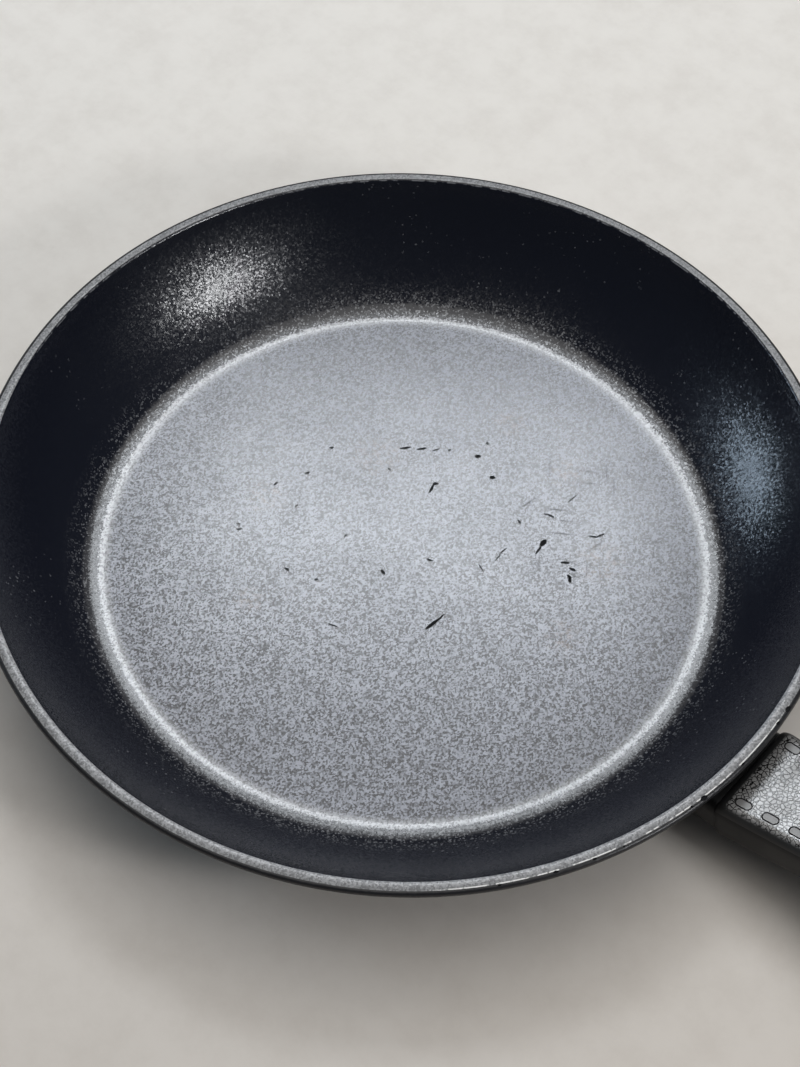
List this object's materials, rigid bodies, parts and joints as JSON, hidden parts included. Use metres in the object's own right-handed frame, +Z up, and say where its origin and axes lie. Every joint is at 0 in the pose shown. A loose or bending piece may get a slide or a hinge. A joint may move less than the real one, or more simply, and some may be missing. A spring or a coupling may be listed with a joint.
{
  "type": "frying pan",
  "caption": "Worn non-stick frying pan with scratched cooking floor, chipped rim and a straight moulded handle with a hanging hole.",
  "frame": {"origin": "centre of the flat base, on its underside", "axes": "+Z up out of the pan, +X from the pan's centre along the handle"},
  "size_m": [0.461, 0.28, 0.0595],
  "materials": {
    "coated_aluminium": "dark non-stick coating with fine metallic flakes, scratched and worn",
    "bare_aluminium": "bare, satin",
    "collar_moulding": "smooth black phenolic moulding",
    "handle_moulding": "black phenolic moulding, leather-grained top and smooth sides",
    "zinc_steel": "zinc plated"
  },
  "bodies": {
    "root": {"pan_body": "coated_aluminium", "handle_bracket": "bare_aluminium", "collar": "collar_moulding", "handle": "handle_moulding", "spring_washer": "zinc_steel", "fixing_screw": "zinc_steel"}
  },
  "joints": []
}
